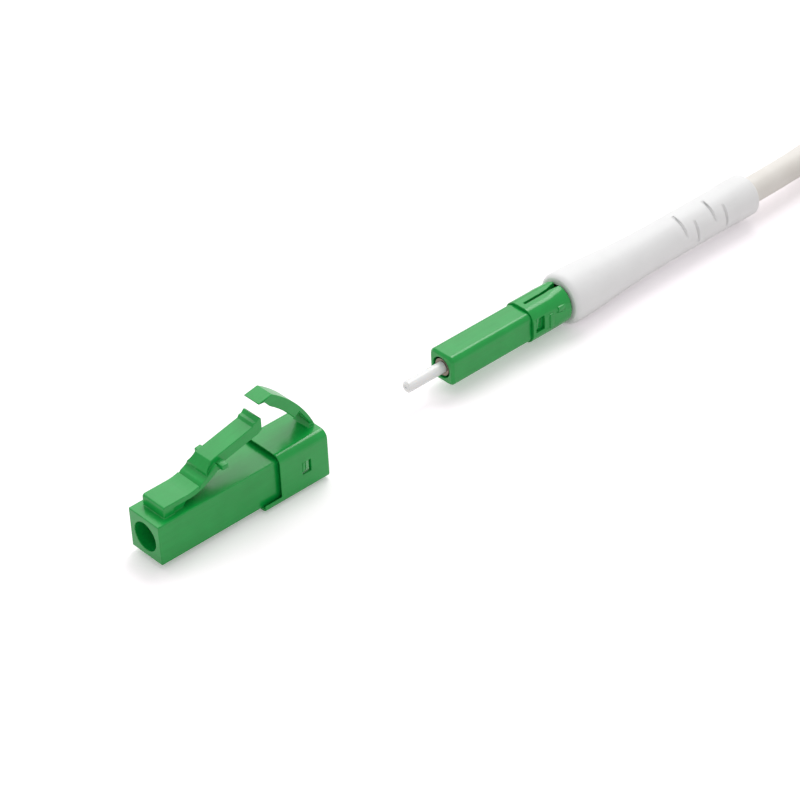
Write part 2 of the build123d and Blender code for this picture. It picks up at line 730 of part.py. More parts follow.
with BuildPart() as boot:
    with BuildSketch(Plane.XZ):
        with BuildLine():
            Polyline(
                (boot_x, axis_height + boot_socket_diameter / 2),
                (boot_x, axis_height + boot_front_face_diameter / 2),
            )
            TangentArc(
                (boot_rim_x, axis_height + boot_front_diameter / 2),
                (boot_x, axis_height + boot_front_face_diameter / 2),
                tangent=(-1, 0),
            )
            Spline(
                (boot_rim_x, axis_height + boot_front_diameter / 2),
                (boot_x + boot_length * boot_shoulder_share, axis_height + boot_shoulder_diameter / 2),
                (boot_x + boot_length * boot_waist_share, axis_height + boot_waist_diameter / 2),
                tangents=((1, 0), (1, 0)),
            )
            Polyline(
                (boot_x + boot_length * boot_waist_share, axis_height + boot_waist_diameter / 2),
                (boot_cuff_x, axis_height + boot_waist_diameter / 2),
                (boot_cuff_x + boot_cuff_edge, axis_height + boot_cuff_diameter / 2),
                (boot_end_x - boot_cuff_edge, axis_height + boot_cuff_diameter / 2),
                (boot_end_x, axis_height + boot_cuff_diameter / 2 - boot_cuff_edge),
                (boot_end_x, axis_height + boot_bore_diameter / 2),
                (boot_socket_end_x, axis_height + boot_bore_diameter / 2),
                (boot_socket_end_x, axis_height + boot_socket_diameter / 2),
                (boot_x, axis_height + boot_socket_diameter / 2),
            )
        make_face()
    revolve(axis=fibre_axis)
    # flex slots in staggered pairs, each cut as a crescent from two opposite sides
    last_slot_x = boot_cuff_x - boot_last_slot_from_cuff
    slot_reach = boot_waist_diameter / 2 - boot_slot_depth + overrun / 2
    for pair in range(boot_slot_pairs):
        for near_cuff in (0, 1):
            slot_x = last_slot_x - pair * boot_slot_pitch - (1 - near_cuff) * boot_slot_stagger
            slot_turn = boot_slot_turn + near_cuff * boot_slot_stagger_turn
            with BuildSketch(on_axis(slot_x)):
                with PolarLocations(slot_reach, 2, start_angle=slot_turn + 90):
                    Rectangle(overrun, boot_waist_diameter + overrun)
            extrude(amount=boot_slot_width / 2, both=True, mode=Mode.SUBTRACT)

# Cable: free stretch from the boot to the hank, then the hank and the loose end
hank_fold_radius = 9.0
hank_turn_pitch = 3.05
hank_columns = 2
hank_layers = 4
hank_run = 38.0
hank_x = 68.0
hank_entry_y = 3.0
hank_margin = 0.05
tie_thickness = 0.4
tie_width = 2.4
tie_clearance = 0.1
tie_head = 1.3
tie_head_width = 3.6
hank_base_z = tie_thickness + 2 * seat_clearance
hank_turn_radius = hank_fold_radius + hank_turn_pitch * (hank_columns - 1)
hank_centre_x = hank_x + hank_run / 2
hank_centre_y = hank_entry_y - hank_turn_radius
hank_outer_radius = hank_turn_radius + cable_diameter / 2 + hank_margin
hank_inner_radius = hank_fold_radius - cable_diameter / 2 - hank_margin
hank_height = cable_diameter + hank_turn_pitch * (hank_layers - 1) + hank_margin
first_layer_z = hank_base_z + cable_diameter / 2
last_layer_z = first_layer_z + hank_turn_pitch * (hank_layers - 1)
floor_z = cable_diameter / 2
run_share = 0.45

lead_points = [
    (boot_end_x, 0, axis_height),
    (50.5, 0, axis_height),
    (59.0, 2.0, 2.1),
    (hank_x, hank_entry_y, first_layer_z),
]
tail_points = [
    (hank_x + hank_run, hank_entry_y, last_layer_z),
    (114.0, 3.2, 10.6),
    (124.0, 3.4, 6.2),
    (134.0, 3.3, 2.0),
    (142.0, 3.0, floor_z),
]


def corner_radii(points):
    """Fillet radius for each inner corner: 0.45 of the shorter run over the half turn's tangent."""
    radii = []
    for before, corner, after in zip(points, points[1:], points[2:]):
        run_in = Vector(*corner) - Vector(*before)
        run_out = Vector(*after) - Vector(*corner)
        half_turn = radians(run_in.get_angle(run_out) / 2)
        radii.append(run_share * min(run_in.length, run_out.length) / tan(half_turn))
    return radii


with BuildPart() as cable:
    with BuildLine() as lead_line:
        FilletPolyline(*lead_points, radius=corner_radii(lead_points))
    with BuildSketch(Plane(lead_line.line @ 0, z_dir=lead_line.line % 0)):
        Circle(cable_diameter / 2)
    sweep()

with BuildPart() as cable_tail:
    with BuildLine() as tail_line:
        FilletPolyline(*tail_points, radius=corner_radii(tail_points))
    with BuildSketch(Plane(tail_line.line @ 0, z_dir=tail_line.line % 0)):
        Circle(cable_diameter / 2)
    sweep()

cable_section = pi * (cable_diameter / 2) ** 2
for name, points, line, solid in (
    ("lead", lead_points, lead_line, cable),
    ("tail", tail_points, tail_line, cable_tail),
):
    print(name, "radii", [round(radius, 1) for radius in corner_radii(points)])
    path_length = line.wires()[0].length
    print(name, "length", round(path_length, 2))
    print(name, "volume ratio", round(solid.part.volume / (cable_section * path_length), 4))

# Hank: the turns as one solid with straight runs and round folds
with BuildPart() as cable_hank:
    with BuildSketch(Plane.XY.offset(hank_base_z)):
        with Locations((hank_centre_x, hank_centre_y)):
            SlotCenterToCenter(hank_run, 2 * hank_outer_radius)
            SlotCenterToCenter(hank_run, 2 * hank_inner_radius, mode=Mode.SUBTRACT)
    extrude(amount=hank_height)
    hank_levels = cable_hank.edges().group_by(Axis.Z)
    fillet(hank_levels[0] + hank_levels[-1], cable_diameter / 2 - hank_margin)

# Two ties round the hank's straight runs, each with its head on top
hank_section_width = hank_outer_radius - hank_inner_radius
hank_section_middle = (hank_outer_radius + hank_inner_radius) / 2
tie_inner_width = hank_section_width + 2 * tie_clearance
tie_inner_height = hank_height + 2 * seat_clearance
tie_corner_radius = cable_diameter / 2 - 2 * tie_clearance

with BuildPart() as hank_ties:
    for side in (-1, 1):
        tie_plane = Plane(
            origin=(
                hank_centre_x,
                hank_centre_y + side * hank_section_middle,
                hank_base_z + hank_height / 2,
            ),
            x_dir=(0, 1, 0),
            z_dir=(1, 0, 0),
        )
        with BuildSketch(tie_plane):
            RectangleRounded(
                tie_inner_width + 2 * tie_thickness,
                tie_inner_height + 2 * tie_thickness,
                tie_corner_radius + tie_thickness,
            )
            RectangleRounded(tie_inner_width, tie_inner_height, tie_corner_radius, mode=Mode.SUBTRACT)
        extrude(amount=tie_width / 2, both=True)
        with BuildSketch(tie_plane):
            with Locations((0, tie_inner_height / 2 + tie_thickness / 2 + tie_head / 2)):
                Rectangle(2 * tie_head, tie_head)
        extrude(amount=tie_head_width / 2, both=True)

# Labels and files
os.makedirs("parts", exist_ok=True)

front_housing.part.label = "front_housing"
export_step(front_housing.part, "parts/front_housing.step")
rear_housing.part.label = "rear_housing"
export_step(rear_housing.part, "parts/rear_housing.step")
latch_lever.part.label = "latch_lever"
export_step(latch_lever.part, "parts/latch_lever.step")
trigger.part.label = "trigger"
export_step(trigger.part, "parts/trigger.step")
plug_frame.part.label = "plug_frame"
export_step(plug_frame.part, "parts/plug_frame.step")
ferrule.part.label = "ferrule"
export_step(ferrule.part, "parts/ferrule.step")
ferrule_flange.part.label = "ferrule_flange"
export_step(ferrule_flange.part, "parts/ferrule_flange.step")
glass_fibre.part.label = "glass_fibre"
export_step(glass_fibre.part, "parts/glass_fibre.step")
buffered_fibre.part.label = "buffered_fibre"
export_step(buffered_fibre.part, "parts/buffered_fibre.step")
ferrule_spring.part.label = "ferrule_spring"
export_step(ferrule_spring.part, "parts/ferrule_spring.step")
spring_stop.part.label = "spring_stop"
export_step(spring_stop.part, "parts/spring_stop.step")
retainer.part.label = "retainer"
export_step(retainer.part, "parts/retainer.step")
strength_yarn.part.label = "strength_yarn"
export_step(strength_yarn.part, "parts/strength_yarn.step")
crimp_sleeve.part.label = "crimp_sleeve"
export_step(crimp_sleeve.part, "parts/crimp_sleeve.step")
cable_in_boot.part.label = "cable_in_boot"
export_step(cable_in_boot.part, "parts/cable_in_boot.step")
boot.part.label = "boot"
export_step(boot.part, "parts/boot.step")
cable.part.label = "cable"
export_step(cable.part, "parts/cable.step")
cable_tail.part.label = "cable_tail"
export_step(cable_tail.part, "parts/cable_tail.step")
cable_hank.part.label = "cable_hank"
export_step(cable_hank.part, "parts/cable_hank.step")
hank_ties.part.label = "hank_ties"
export_step(hank_ties.part, "parts/hank_ties.step")
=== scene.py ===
# %% [markdown]
# # A latched fibre connector with its housing pulled off
# This is a small angle-polished connector, shown as on a bench: the green
# housing lies at the left, and the plug with its white boot and cable at the right.
# The CAD model gives every piece its place and size. Here the pieces get their
# finish, and the cable becomes one smooth curve. The frame is loaded first,
# because everything else is measured from it.

# %% Load the frame
import math

import bmesh
import bpy
from mathutils import Matrix, Vector


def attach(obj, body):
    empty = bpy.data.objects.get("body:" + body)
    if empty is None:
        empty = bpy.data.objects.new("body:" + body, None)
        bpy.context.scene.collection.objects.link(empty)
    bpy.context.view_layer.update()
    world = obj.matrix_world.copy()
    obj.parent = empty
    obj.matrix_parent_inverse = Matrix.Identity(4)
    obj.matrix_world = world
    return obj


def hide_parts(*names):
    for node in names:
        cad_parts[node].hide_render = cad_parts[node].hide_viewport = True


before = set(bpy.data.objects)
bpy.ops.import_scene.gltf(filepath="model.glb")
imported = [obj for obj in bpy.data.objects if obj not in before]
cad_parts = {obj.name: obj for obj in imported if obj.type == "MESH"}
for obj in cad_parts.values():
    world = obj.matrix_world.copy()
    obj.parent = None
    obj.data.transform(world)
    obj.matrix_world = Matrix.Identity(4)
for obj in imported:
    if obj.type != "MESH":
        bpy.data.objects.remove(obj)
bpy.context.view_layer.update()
MM = 0.001
print("pieces in the frame:", len(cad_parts))

# %% [markdown]
# ## Camera
# The photograph was taken from far away with a long lens, so parallel edges
# stay nearly parallel. The camera looks down at the front and the near side. It
# could be placed by hand, but an azimuth, an elevation and a distance are easier
# to compare with the picture. At the end it is rolled a little, because the
# object lies slightly turned in the picture.

# %% Camera
CAMERA_AZIMUTH = math.radians(40.72)
CAMERA_ELEVATION = math.radians(36.28)
CAMERA_ROLL = math.radians(2.86)
CAMERA_DISTANCE = 298.4 * MM
CAMERA_TARGET = Vector((-9.07, 0.08, 1.72)) * MM
CAMERA_LENS = 135.0
SENSOR_WIDTH = 36.0
NEAREST_SEEN, FARTHEST_SEEN = 0.01, 10.0

level = math.cos(CAMERA_ELEVATION)
right = Vector((math.cos(CAMERA_AZIMUTH), -math.sin(CAMERA_AZIMUTH), 0.0))
back = Vector((
    -math.sin(CAMERA_AZIMUTH) * level,
    -math.cos(CAMERA_AZIMUTH) * level,
    math.sin(CAMERA_ELEVATION),
))
up = back.cross(right)
rolled_right = right * math.cos(CAMERA_ROLL) - up * math.sin(CAMERA_ROLL)
rolled_up = right * math.sin(CAMERA_ROLL) + up * math.cos(CAMERA_ROLL)

camera_data = bpy.data.cameras.new("camera")
camera_data.lens = CAMERA_LENS
camera_data.sensor_width = SENSOR_WIDTH
camera_data.clip_start = NEAREST_SEEN
camera_data.clip_end = FARTHEST_SEEN
camera = bpy.data.objects.new("camera", camera_data)
axes = Matrix((rolled_right, rolled_up, back)).transposed().to_4x4()
camera.matrix_world = Matrix.Translation(CAMERA_TARGET + back * CAMERA_DISTANCE) @ axes
bpy.context.scene.collection.objects.link(camera)
bpy.context.scene.camera = camera
print("camera at", [round(x, 3) for x in camera.matrix_world.translation])

# %% [markdown]
# ## Values of a node tree
# A finish is a tree of nodes, and each node could be made and linked by hand.
# Long trees are easier to read as sums, so a small class wraps one output of a
# node: an expression on such values adds its Math nodes. Every other node comes
# from the method `node`, which takes the node's type, its settings, and the
# values or links of its sockets.


# %% Values of a node tree
class Value:
    """One output of a node. An expression on values adds the Math nodes for it."""

    def __init__(self, socket):
        self.socket = socket

    @classmethod
    def node(cls, tree, kind, settings=None, sockets=None, output=0):
        """A new node: its settings come first, then the values or links of its sockets."""
        made = tree.nodes.new(kind)
        for name, setting in (settings or {}).items():
            setattr(made, name, setting)
        for name, value in (sockets or {}).items():
            if isinstance(value, cls):
                tree.links.new(value.socket, made.inputs[name])
            else:
                made.inputs[name].default_value = value
        return cls(made.outputs[output]) if len(made.outputs) else None

    def math(self, operation, other, clamp=False, turned=False):
        """A Math node on this value and another, or, turned, on the other and this one."""
        pair = {0: other, 1: self} if turned else {0: self, 1: other}
        settings = {"operation": operation, "use_clamp": clamp}
        return Value.node(self.socket.id_data, "ShaderNodeMath", settings, pair)

    def __add__(self, other):
        return self.math("ADD", other)

    def __sub__(self, other):
        return self.math("SUBTRACT", other)

    def __rsub__(self, other):
        return self.math("SUBTRACT", other, turned=True)

    def __mul__(self, other):
        return self.math("MULTIPLY", other)

    __radd__ = __add__
    __rmul__ = __mul__


print("operations on values: + - *")

# %% [markdown]
# ## Parts of a finish
# No moulded or turned surface is quite even, and the small unevenness is what
# tells plastic from metal. It could come from a picture, but noise that reads
# Object coordinates has no seams, stays on its piece and is given in real sizes.
# These helpers make the noise, blend two colours by it and raise the surface.


# %% Parts of a finish
def new_material(name):
    """An empty node material and its tree."""
    material = bpy.data.materials.new(name)
    material.use_nodes = True
    material.node_tree.nodes.clear()
    return material, material.node_tree


def cover(tree, sockets):
    """Ends a material in a Principled shader with these sockets."""
    surface = Value.node(tree, "ShaderNodeBsdfPrincipled", sockets=sockets)
    Value.node(tree, "ShaderNodeOutputMaterial", sockets={"Surface": surface})


def place_on_piece(tree):
    """Where a point lies on its piece, in metres."""
    return Value.node(tree, "ShaderNodeTexCoord", output="Object")


def noise(tree, grain, detail=3.0, stretch=(1.0, 1.0, 1.0)):
    """Noise of 0 to 1 with grains of this size in metres, longer along a stretched axis."""
    squeeze = [1.0 / share for share in stretch]
    place = {"Vector": place_on_piece(tree), "Scale": squeeze}
    laid = Value.node(tree, "ShaderNodeMapping", sockets=place)
    sockets = {"Vector": laid, "Scale": 1.0 / grain, "Detail": detail}
    return Value.node(tree, "ShaderNodeTexNoise", sockets=sockets, output="Fac")


def blend(tree, factor, first, second):
    """A colour between two, by a factor. The first may be a value of the tree."""
    start = first if isinstance(first, Value) else (*first, 1.0)
    sockets = {"Factor": factor, "A": start, "B": (*second, 1.0)}
    return Value.node(tree, "ShaderNodeMix", {"data_type": "RGBA"}, sockets, "Result")


def raised(tree, height, depth):
    """The normal of a surface that is raised by a height of 0 to 1 times a depth in metres."""
    return Value.node(tree, "ShaderNodeBump", sockets={"Distance": depth, "Height": height})


print("sizes in metres, one millimetre is", MM)

# %% [markdown]
# ## Green moulded plastic
# The housing and plug are injection-moulded in a bright green that marks the
# angled polish. The mould's spark-eroded skin leaves a fine grain, and the
# plastic leaves faint clouds and long streaks where it flowed. One flat colour
# would look like paint, so two close greens are blended by noise, and the fine
# grain also varies the roughness a little.

# %% Green moulded plastic
CLOUD_GRAIN = 2.5 * MM
CLOUD_CONTRAST = 1.6
STREAK_GRAIN = 0.35 * MM
STREAK_CONTRAST = 0.8
COARSE_DETAIL = 2.0
ROUGHNESS_SPREAD = 0.12


def moulded_plastic(name, shade, light, roughness, grain, depth, streak=None, more=None):
    """Moulded plastic: fine grain, cloudy colour and, where given, long flow streaks."""
    material, tree = new_material(name)
    clouds = noise(tree, CLOUD_GRAIN, COARSE_DETAIL)
    fine = noise(tree, grain)
    factor = (clouds - 0.5) * CLOUD_CONTRAST + 0.5
    if streak:
        streaks = noise(tree, STREAK_GRAIN, COARSE_DETAIL, streak)
        factor = factor + (streaks - 0.5) * STREAK_CONTRAST
    cover(tree, {
        "Base Color": blend(tree, factor, shade, light),
        "Roughness": (fine - 0.5) * ROUGHNESS_SPREAD + roughness,
        "Normal": raised(tree, fine, depth),
        **(more or {}),
    })
    return material


green_plastic = moulded_plastic(
    "green moulded plastic",
    shade=(0.002, 0.320, 0.046),
    light=(0.005, 0.385, 0.061),
    roughness=0.24,
    grain=0.05 * MM,
    depth=0.0008 * MM,
    streak=(14.0, 1.0, 1.0),
    more={"IOR": 1.5},
)
print(green_plastic.name, "has", len(green_plastic.node_tree.nodes), "nodes")

# %% [markdown]
# ## Boot, cable jacket and ties
# The boot is a soft white elastomer that lets a little light in, so its shadows
# are gentle: a small share of subsurface scattering does that. The cable jacket
# is an off-white plastic with a dull skin, and the ties are black and plain.
# All three are mouldings, so the same function makes them with other values.

# %% Boot, cable jacket and ties
boot_rubber = moulded_plastic(
    "white boot elastomer",
    shade=(0.85, 0.85, 0.85),
    light=(0.88, 0.88, 0.88),
    roughness=0.48,
    grain=0.06 * MM,
    depth=0.0015 * MM,
    more={
        "IOR": 1.45,
        "Subsurface Weight": 0.15,
        "Subsurface Radius": (1.0, 1.0, 1.0),
        "Subsurface Scale": 0.4 * MM,
    },
)
jacket_plastic = moulded_plastic(
    "ivory cable jacket",
    shade=(0.80, 0.765, 0.715),
    light=(0.86, 0.830, 0.785),
    roughness=0.52,
    grain=0.08 * MM,
    depth=0.002 * MM,
)
tie_plastic = moulded_plastic(
    "black tie plastic",
    shade=(0.012, 0.012, 0.012),
    light=(0.022, 0.022, 0.022),
    roughness=0.45,
    grain=0.08 * MM,
    depth=0.002 * MM,
)
print("soft finishes:", boot_rubber.name, jacket_plastic.name, tie_plastic.name, sep="\n  ")

# %% [markdown]
# ## White ceramic
# The ferrule is ground zirconia, which is nearly as smooth as glass and glows a
# little from inside. Ground ceramic has hardly any grain, so the moulding
# function serves with a very shallow one and with more subsurface scattering.

# %% White ceramic
ceramic = moulded_plastic(
    "white ceramic",
    shade=(0.86, 0.86, 0.855),
    light=(0.88, 0.88, 0.875),
    roughness=0.22,
    grain=0.03 * MM,
    depth=0.0002 * MM,
    more={
        "Subsurface Weight": 0.8,
        "Subsurface Radius": (1.0, 0.95, 0.9),
        "Subsurface Scale": 0.6 * MM,
    },
)
print(ceramic.name, "has", len(ceramic.node_tree.nodes), "nodes")

# %% [markdown]
# ## Metal, yarn and glass
# The flange, spring, stop and crimp sleeve are nickel-plated and turned, with
# fine lines round their axis. The lines could be cut into the mesh, but noise
# that is stretched across the axis shows them with no more faces. The aramid
# yarn is the same idea along the axis, as straight filaments. The fibre is glass.

# %% Metal, yarn and glass
LINE_GRAIN = 0.02 * MM
LINE_STRETCH = (1.0, 40.0, 40.0)
LINE_DEPTH = 0.0008 * MM
FILAMENT_GRAIN = 0.03 * MM
FILAMENT_STRETCH = (60.0, 1.0, 1.0)
FILAMENT_DEPTH = 0.02 * MM


def turned_metal(name, colour, roughness, spread):
    """Plated metal with turning lines round its axis, which runs along X."""
    material, tree = new_material(name)
    lines = noise(tree, LINE_GRAIN, COARSE_DETAIL, LINE_STRETCH)
    cover(tree, {
        "Base Color": (*colour, 1.0),
        "Metallic": 1.0,
        "Roughness": (lines - 0.5) * spread + roughness,
        "Normal": raised(tree, lines, LINE_DEPTH),
    })
    return material


# The colour is far darker than bare nickel's own: painted shade that stands in for darker
# surroundings in the metal's reflections.
nickel = turned_metal("nickel plating", (0.21, 0.18, 0.14), roughness=0.16, spread=0.2)

aramid, tree = new_material("yellow aramid yarn")
filaments = noise(tree, FILAMENT_GRAIN, stretch=FILAMENT_STRETCH)
cover(tree, {
    "Base Color": blend(tree, filaments, (0.52, 0.36, 0.05), (0.80, 0.62, 0.16)),
    "Roughness": 0.6,
    "Sheen Weight": 0.3,
    "Normal": raised(tree, filaments, FILAMENT_DEPTH),
})

glass, tree = new_material("fibre glass")
cover(tree, {
    "Base Color": (0.86, 0.90, 0.92, 1.0),
    "Roughness": 0.05,
    "Transmission Weight": 0.6,
})
print("finishes:", [material.name for material in bpy.data.materials])

# %% [markdown]
# ## CAD pieces with soft edges
# A moulded edge is never a knife edge. Its tiny radius catches the light as the
# thin bright line that makes plastic look real. A CAD node's mesh is loose
# triangles, so a copy is merged, its flat areas are joined into single faces,
# and a Bevel modifier rounds the edges that get a bevel weight. Weighted normals
# keep the flat faces flat. The latch and its root are one moulding on the real
# part. Here they are two pieces, because the latch moves, so the edges in the
# plane where they meet stay unrounded: a groove there would show a seam that the
# real part doesn't have.

# %% Soft-edged copies
SHARP_ANGLE = math.radians(14.0)
SHARP_ANGLE_FREE_FORM = math.radians(28.0)
SHARP_ANGLE_CHAMFERED = math.radians(50.0)
FLAT_ANGLE = math.radians(0.8)
MERGE_DISTANCE = 0.0005 * MM
BEVEL_STEPS = 3
LATCH_SEAM_X = -37.2 * MM
SEAMS = {"front_housing": LATCH_SEAM_X, "latch_lever": LATCH_SEAM_X}


def in_plane(edge, x):
    """Whether both ends of an edge lie in the plane at x."""
    return all(abs(vertex.co.x - x) < MERGE_DISTANCE for vertex in edge.verts)


def weigh_edges(shape, sharp, seam_x):
    """Gives each sharp edge a bevel weight of 1, but not the edges in the plane of a seam."""
    weights = shape.edges.layers.float.new("bevel_weight_edge")
    for edge in shape.edges:
        edge.smooth = True
        if seam_x is not None and in_plane(edge, seam_x):
            edge.smooth = False
        elif len(edge.link_faces) == 2 and edge.calc_face_angle() > sharp:
            edge[weights] = 1.0


def merged_mesh(node, sharp):
    """A copy of a CAD node's mesh with whole faces, and with weights for its sharp edges."""
    shape = bmesh.new()
    shape.from_mesh(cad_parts[node].data)
    for layer in list(shape.loops.layers.float_vector):
        shape.loops.layers.float_vector.remove(layer)
    bmesh.ops.remove_doubles(shape, verts=shape.verts, dist=MERGE_DISTANCE)
    bmesh.ops.dissolve_limit(
        shape, angle_limit=FLAT_ANGLE, verts=shape.verts, edges=shape.edges
    )
    for face in shape.faces:
        face.smooth = True
    weigh_edges(shape, sharp, SEAMS.get(node))
    mesh = bpy.data.meshes.new(node + "_finished")
    shape.to_mesh(mesh)
    shape.free()
    return mesh


def soft_edged(node, material, body, radius, sharp):
    """A copy of a CAD node, with rounded edges where a radius is given, which stands for that
    node.
    """
    mesh = merged_mesh(node, sharp)
    mesh.materials.clear()
    mesh.materials.append(material)
    piece = bpy.data.objects.new(node + "_finished", mesh)
    bpy.context.scene.collection.objects.link(piece)
    if radius:
        bevel = piece.modifiers.new("edge radius", "BEVEL")
        bevel.width = radius
        bevel.segments = BEVEL_STEPS
        bevel.limit_method = "WEIGHT"
        bevel.use_clamp_overlap = False
        shading = piece.modifiers.new("flat faces stay flat", "WEIGHTED_NORMAL")
        shading.keep_sharp = True
    else:
        mesh.set_sharp_from_angle(angle=sharp)
    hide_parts(node)
    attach(piece, body)
    print(node, "faces", len(mesh.polygons))


# Each row: CAD node, finish, slot, body, edge radius in millimetres, sharp angle.
soft_pieces = (
    ("rear_housing", green_plastic, "green_moulding", "housing", 0.07, SHARP_ANGLE),
    ("trigger", green_plastic, "green_moulding", "trigger", 0.09, SHARP_ANGLE),
    ("plug_frame", green_plastic, "green_moulding", "plug", 0.08, SHARP_ANGLE),
    ("front_housing", green_plastic, "green_moulding", "housing", 0.08, SHARP_ANGLE_CHAMFERED),
    ("latch_lever", green_plastic, "green_moulding", "latch", 0.08, SHARP_ANGLE),
    ("retainer", green_plastic, "green_moulding", "plug", 0.04, SHARP_ANGLE_FREE_FORM),
    ("boot", boot_rubber, "boot_white", "plug", 0.06, SHARP_ANGLE_FREE_FORM),
    ("ferrule", ceramic, "white_ceramic", "ferrule", 0.0, SHARP_ANGLE_FREE_FORM),
    ("ferrule_flange", nickel, "nickel", "ferrule", 0.03, SHARP_ANGLE_FREE_FORM),
    ("hank_ties", tie_plastic, "tie_black", "plug", 0.08, SHARP_ANGLE_FREE_FORM),
)
for node, material, slot, body, radius, sharp in soft_pieces:
    soft_edged(node, material, body, radius * MM, sharp)

# %% [markdown]
# ## Hidden pieces
# The fibre, its buffer, the spring, the metal stop, the crimp sleeve and the
# cable's end sit inside the plug and can't be seen from outside. Rounded copies
# would show nothing more, so these pieces keep their CAD meshes and only get
# their finish.

# %% Hidden pieces keep their CAD meshes
hidden_finishes = {
    "glass_fibre": glass,
    "buffered_fibre": boot_rubber,
    "ferrule_spring": nickel,
    "spring_stop": nickel,
    "crimp_sleeve": nickel,
    "cable_in_boot": jacket_plastic,
}
for node, material in hidden_finishes.items():
    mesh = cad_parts[node].data
    mesh.materials.clear()
    mesh.materials.append(material)
print("hidden pieces:", len(hidden_finishes))

# %% [markdown]
# ## One strand, repeated
# The yarn that takes the pull of the cable is combed back over the crimp tube
# and held there by the crimp sleeve. It is a ring of fine strands, side by side.
# They could be forty cylinders from a loop, but a small Geometry Nodes tree makes
# one strand and sets a copy of it at every point of a circle, and its sizes stay
# named inputs.

# %% The tree of the yarn ring
STRAND_SIDES = 6
QUARTER_TURN_ON_Y = (0.0, math.radians(90.0), 0.0)
YARN_INPUTS = {
    "Strands": "NodeSocketInt",
    "Ring radius": "NodeSocketFloat",
    "Strand radius": "NodeSocketFloat",
    "Length": "NodeSocketFloat",
    "Start": "NodeSocketVector",
}

yarn_tree = bpy.data.node_groups.new("ring of strands", "GeometryNodeTree")
yarn_sockets = {
    name: yarn_tree.interface.new_socket(name=name, in_out="INPUT", socket_type=kind).identifier
    for name, kind in YARN_INPUTS.items()
}
yarn_tree.interface.new_socket(name="Geometry", in_out="OUTPUT", socket_type="NodeSocketGeometry")
group_input = yarn_tree.nodes.new("NodeGroupInput")
size = {name: Value(group_input.outputs[name]) for name in YARN_INPUTS}

sockets = {"Vertices": size["Strands"], "Radius": size["Ring radius"]}
circle = Value.node(yarn_tree, "GeometryNodeMeshCircle", sockets=sockets)
sockets = {"Geometry": circle, "Rotation": QUARTER_TURN_ON_Y}
upright = Value.node(yarn_tree, "GeometryNodeTransform", sockets=sockets)
strand_end = Value.node(yarn_tree, "ShaderNodeCombineXYZ", sockets={"X": size["Length"]})
line = Value.node(yarn_tree, "GeometryNodeCurvePrimitiveLine", sockets={"End": strand_end})
sockets = {"Resolution": STRAND_SIDES, "Radius": size["Strand radius"]}
profile = Value.node(yarn_tree, "GeometryNodeCurvePrimitiveCircle", sockets=sockets)
sockets = {"Curve": line, "Profile Curve": profile, "Fill Caps": True}
strand = Value.node(yarn_tree, "GeometryNodeCurveToMesh", sockets=sockets)
sockets = {"Points": upright, "Instance": strand}
copies = Value.node(yarn_tree, "GeometryNodeInstanceOnPoints", sockets=sockets)
real = Value.node(yarn_tree, "GeometryNodeRealizeInstances", sockets={"Geometry": copies})
sockets = {"Geometry": real, "Translation": size["Start"]}
placed = Value.node(yarn_tree, "GeometryNodeTransform", sockets=sockets)
sockets = {"Geometry": placed, "Material": aramid}
finished = Value.node(yarn_tree, "GeometryNodeSetMaterial", sockets=sockets)
Value.node(yarn_tree, "NodeGroupOutput", sockets={"Geometry": finished})
print("nodes in the yarn's tree:", len(yarn_tree.nodes))

# %% [markdown]
# ## Strength yarn
# The ring's sizes come from the CAD piece that it replaces: the strands touch
# each other and fill the piece's outer circle. The evaluated result is turned
# into a plain mesh, because the export reads meshes and drops instances.

# %% Strength yarn
STRANDS = 40

places = [vertex.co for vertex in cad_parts["strength_yarn"].data.vertices]
low = Vector([min(place[axis] for place in places) for axis in range(3)])
high = Vector([max(place[axis] for place in places) for axis in range(3)])
outer_radius = (high.y - low.y) / 2
half_step = math.sin(math.pi / STRANDS)
strand_radius = outer_radius * half_step / (1 + half_step)
yarn_values = {
    "Strands": STRANDS,
    "Ring radius": outer_radius - strand_radius,
    "Strand radius": strand_radius,
    "Length": high.x - low.x,
    "Start": Vector((low.x, 0.0, (low.z + high.z) / 2)),
}

yarn = bpy.data.objects.new("strength_yarn_strands", bpy.data.meshes.new("strength_yarn_strands"))
bpy.context.scene.collection.objects.link(yarn)
builder = yarn.modifiers.new("ring of strands", "NODES")
builder.node_group = yarn_tree
for name, value in yarn_values.items():
    builder[yarn_sockets[name]] = value
depsgraph = bpy.context.evaluated_depsgraph_get()
yarn_mesh = bpy.data.meshes.new_from_object(yarn.evaluated_get(depsgraph), depsgraph=depsgraph)
yarn.modifiers.clear()
yarn.data = yarn_mesh
yarn_mesh.materials.clear()
yarn_mesh.materials.append(aramid)
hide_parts("strength_yarn")
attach(yarn, "plug")
print("strands:", STRANDS, "faces:", len(yarn_mesh.polygons))

# %% [markdown]
# ## The route of the cable
# The cable is one length: straight out of the boot, down onto the table, round a
# tied hank in line with the connector, and out to its cut end. The hank is wound
# two turns wide and four layers high. Its points could be placed by hand, but a
# rule is surer: each turn keeps its place beside or on the last one, and moves to
# the next free place at one stretch of the turn. That stretch comes earlier in
# every later turn, so that the turns never pass through each other.

# %% The route of the cable
AXIS_HEIGHT = 2.875
HANK_FOLD_RADIUS = 9.0
HANK_PITCH = 3.05
HANK_RUN = 38.0
HANK_START = (68.0, 3.0, 1.94)
HANK_CENTRE_Y = HANK_START[1] - HANK_FOLD_RADIUS - HANK_PITCH
HANK_TURNS = 7.25
POINTS_PER_TURN = 32
# Where in each turn, as a share of it, the cable starts and ends its move.
MOVES = (
    (0.75, 1.0), (0.73, 0.88), (0.62, 0.78), (0.57, 0.70),
    (0.48, 0.64), (0.38, 0.52), (0.25, 0.50),
)

lead_points = [(41.4, 0.0, AXIS_HEIGHT), (50.5, 0.0, AXIS_HEIGHT), (59.0, 2.0, 2.1)]
tail_points = [(114.0, 3.2, 10.6), (124.0, 3.4, 6.2), (134.0, 3.3, 2.0), (142.0, 3.0, 1.5)]


